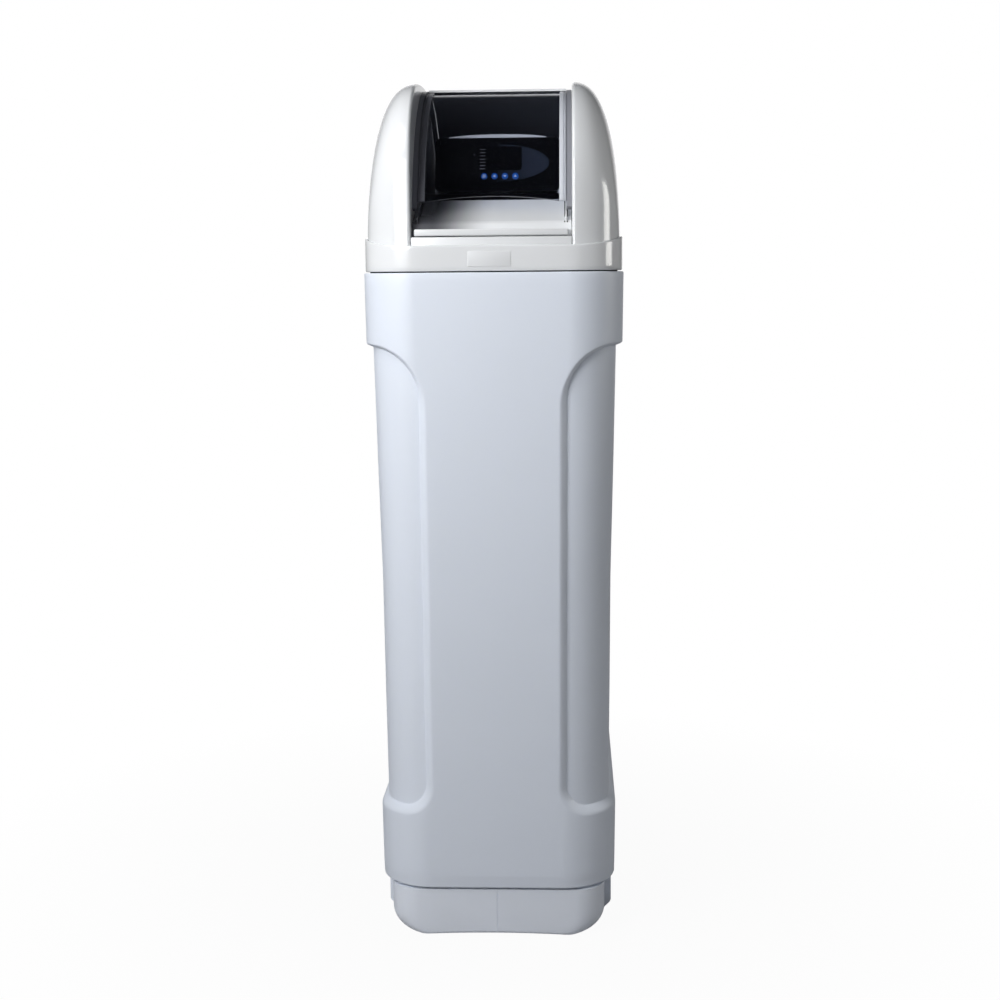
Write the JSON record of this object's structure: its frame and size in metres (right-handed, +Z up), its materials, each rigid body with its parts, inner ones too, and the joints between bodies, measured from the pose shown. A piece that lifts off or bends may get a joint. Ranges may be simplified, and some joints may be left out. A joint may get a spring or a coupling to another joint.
{
  "type": "cabinet water filter",
  "caption": "White cabinet water softening filter with a dome lid, curved smoked sliding cover, black control panel, tank, control valve, bypass and brine well.",
  "frame": {"origin": "on the floor, below the middle of the cabinet", "axes": "+Z up, front with the controls towards -Y, +X to the right as seen from the front"},
  "size_m": [0.3314, 0.497, 1.1169],
  "materials": {
    "cabinet_white": "satin",
    "lid_white": "gloss",
    "smoked_pane": "gloss",
    "fascia_black": "gloss",
    "bezel_grey": "satin",
    "window_dark": "gloss",
    "button_blue": "satin",
    "head_grey": "satin",
    "board_green": "satin",
    "tank_blue": "satin",
    "moulded_black": "satin",
    "valve_black": "satin",
    "resin_amber": "granular",
    "seal_rubber": "matte",
    "natural_white": "satin",
    "knob_red": "satin",
    "gear_white": "satin",
    "steel": "brushed",
    "float_orange": "satin",
    "tube_black": "satin"
  },
  "bodies": {
    "cabinet": {"cabinet_body": "cabinet_white", "foot_pads": "seal_rubber", "pressure_tank": "tank_blue", "tank_boot": "moulded_black", "riser_tube": "natural_white", "top_basket": "natural_white", "resin_bed": "resin_amber", "tank_collar": "moulded_black", "neck_seal": "seal_rubber", "valve_body": "valve_black", "bypass_body": "valve_black", "motor_bracket": "steel", "drive_motor": "steel", "head_base_plate": "head_grey", "head_screws": "steel", "control_housing": "head_grey", "control_fascia": "fascia_black", "display_bezel": "bezel_grey", "display_window": "window_dark", "control_board": "board_green", "brine_well": "natural_white", "float_stem": "natural_white", "brine_tube": "tube_black", "salt_grid": "natural_white", "overflow_elbow": "moulded_black", "overflow_nut": "moulded_black", "cable_gland": "moulded_black"},
    "lid": {"lid_ring": "lid_white", "right_cheek": "lid_white", "left_cheek": "lid_white", "rear_hood": "lid_white", "right_rail": "moulded_black", "left_rail": "moulded_black", "front_tray": "lid_white", "front_bar": "lid_white", "blank_plate": "lid_white"},
    "cover": {"smoked_cover": "smoked_pane", "right_runner": "lid_white", "left_runner": "lid_white"},
    "inlet_knob": {"inlet_knob": "knob_red"},
    "outlet_knob": {"outlet_knob": "knob_red"},
    "disc_gear": {"disc_gear": "gear_white"},
    "motor_pinion": {"motor_pinion": "gear_white"},
    "well_cap": {"well_cap": "natural_white"},
    "brine_float": {"brine_float": "float_orange"},
    "menu_button": {"menu_button": "button_blue"},
    "back_button": {"back_button": "button_blue"},
    "down_button": {"down_button": "button_blue"},
    "up_button": {"up_button": "button_blue"}
  },
  "joints": [
    {"name": "lid_lift", "type": "slide", "parent": "cabinet", "child": "lid", "axis": [0, 0, 1], "range_m": [0, 0.25]},
    {"name": "cover_slide", "type": "hinge", "parent": "lid", "child": "cover", "pos_m": [0, 0, 0.886], "axis": [-1, 0, 0], "range_deg": [0, 66]},
    {"name": "inlet_valve_turn", "type": "hinge", "parent": "cabinet", "child": "inlet_knob", "pos_m": [-0.031, 0.1684, 0.92], "axis": [0, 0, 1], "range_deg": [0, 90]},
    {"name": "outlet_valve_turn", "type": "hinge", "parent": "cabinet", "child": "outlet_knob", "pos_m": [0.031, 0.1684, 0.92], "axis": [0, 0, 1], "range_deg": [0, 90]},
    {"name": "disc_turn", "type": "hinge", "parent": "cabinet", "child": "disc_gear", "pos_m": [0, 0.05, 0.957], "axis": [0, 0, 1], "continuous": true},
    {"name": "pinion_turn", "type": "hinge", "parent": "cabinet", "child": "motor_pinion", "pos_m": [0, -0.001, 0.957], "axis": [0, 0, 1], "continuous": true},
    {"name": "well_cap_lift", "type": "slide", "parent": "cabinet", "child": "well_cap", "axis": [0, 0, 1], "range_m": [0, 0.04]},
    {"name": "float_rise", "type": "slide", "parent": "cabinet", "child": "brine_float", "axis": [0, 0, 1], "range_m": [0, 0.06]},
    {"name": "menu_button_press", "type": "slide", "parent": "cabinet", "child": "menu_button", "axis": [0, 0.9627, -0.2706], "range_m": [0, 0.0008], "stiffness_N_per_m": 500, "springref_m": -0.0008},
    {"name": "back_button_press", "type": "slide", "parent": "cabinet", "child": "back_button", "axis": [0, 0.9627, -0.2706], "range_m": [0, 0.0008], "stiffness_N_per_m": 500, "springref_m": -0.0008},
    {"name": "down_button_press", "type": "slide", "parent": "cabinet", "child": "down_button", "axis": [0, 0.9627, -0.2706], "range_m": [0, 0.0008], "stiffness_N_per_m": 500, "springref_m": -0.0008},
    {"name": "up_button_press", "type": "slide", "parent": "cabinet", "child": "up_button", "axis": [0, 0.9627, -0.2706], "range_m": [0, 0.0008], "stiffness_N_per_m": 500, "springref_m": -0.0008}
  ],
  "couplings": [
    {"joint": "pinion_turn", "follows": "disc_turn", "ratio": -4.6667}
  ]
}
